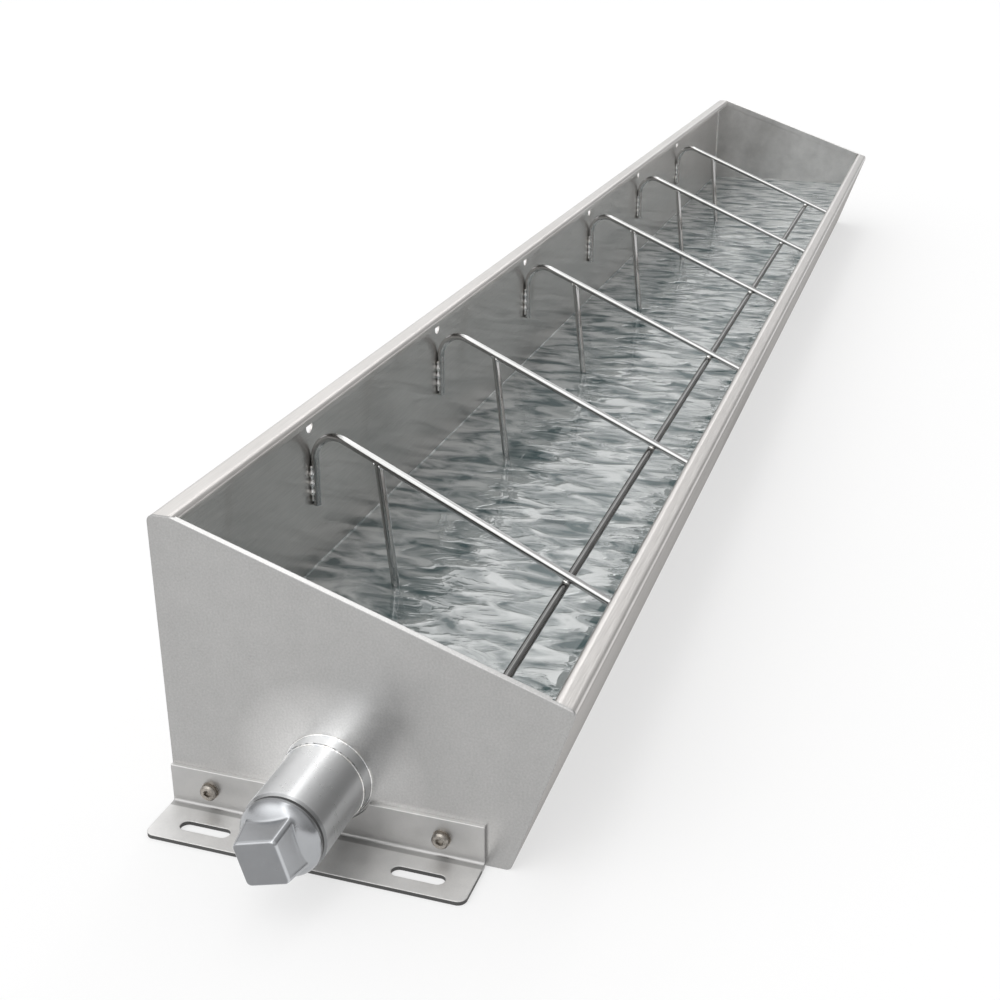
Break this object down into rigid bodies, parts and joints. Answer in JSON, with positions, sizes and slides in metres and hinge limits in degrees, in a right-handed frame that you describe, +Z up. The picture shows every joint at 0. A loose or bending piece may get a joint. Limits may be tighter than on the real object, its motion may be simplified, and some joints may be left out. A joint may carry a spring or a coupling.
{
  "type": "pig feeder",
  "caption": "Long open stainless-steel pig trough: tall back, low leaning front, hooked bar dividers with legs and a tie bar, screw-in end drain plug, slotted bolted feet.",
  "frame": {"origin": "on the floor, midway along the trough and midway across its flat bottom", "axes": "+X along the trough away from the drain, -Y towards the low feeding side, +Z up"},
  "size_m": [2.137, 0.2768, 0.212],
  "materials": {
    "sheet": "satin stainless sheet, rolled grain along the trough",
    "plate": "satin stainless plate",
    "bracket": "satin stainless plate, folded",
    "bar": "polished stainless round bar",
    "polished": "machined and polished stainless",
    "casting": "cast stainless, lightly polished",
    "fastener": "dull stainless fastener",
    "weld": "pickled weld metal",
    "seal": "matt black rubber",
    "gasket": "dark fibre-rubber sheet"
  },
  "bodies": {
    "trough": {"trough_shell": "sheet", "end_plate_drain": "plate", "end_plate_far": "plate", "foot_bracket_drain": "bracket", "foot_bracket_far": "bracket", "foot_screws_drain": "fastener", "foot_screws_far": "fastener", "foot_washers_drain": "fastener", "foot_washers_far": "fastener", "foot_seals_drain": "seal", "foot_seals_far": "seal", "foot_nuts_drain": "fastener", "foot_nuts_far": "fastener", "drain_socket": "polished", "drain_collar": "polished", "drain_welds": "weld", "divider_rod_1": "bar", "divider_rod_2": "bar", "divider_rod_3": "bar", "divider_rod_4": "bar", "divider_rod_5": "bar", "divider_rod_6": "bar", "divider_leg_1": "bar", "divider_leg_2": "bar", "divider_leg_3": "bar", "divider_leg_4": "bar", "divider_leg_5": "bar", "divider_leg_6": "bar", "tie_bar": "bar", "stub_welds": "weld", "leg_welds": "weld", "tie_welds": "weld", "rod_end_welds": "weld"},
    "plug_carrier": {"drain_gasket": "gasket"},
    "plug": {"drain_plug": "casting"}
  },
  "joints": [
    {"name": "plug_travel", "type": "slide", "parent": "trough", "child": "plug_carrier", "axis": [-1, 0, 0], "range_m": [0, 0.0185]},
    {"name": "plug_turn", "type": "hinge", "parent": "plug_carrier", "child": "plug", "pos_m": [-1.064, 0.004, 0.045], "axis": [-1, 0, 0], "range_deg": [0, 2880]}
  ],
  "couplings": [
    {"joint": "plug_travel", "follows": "plug_turn", "m_per_rad": 0.0003675}
  ]
}
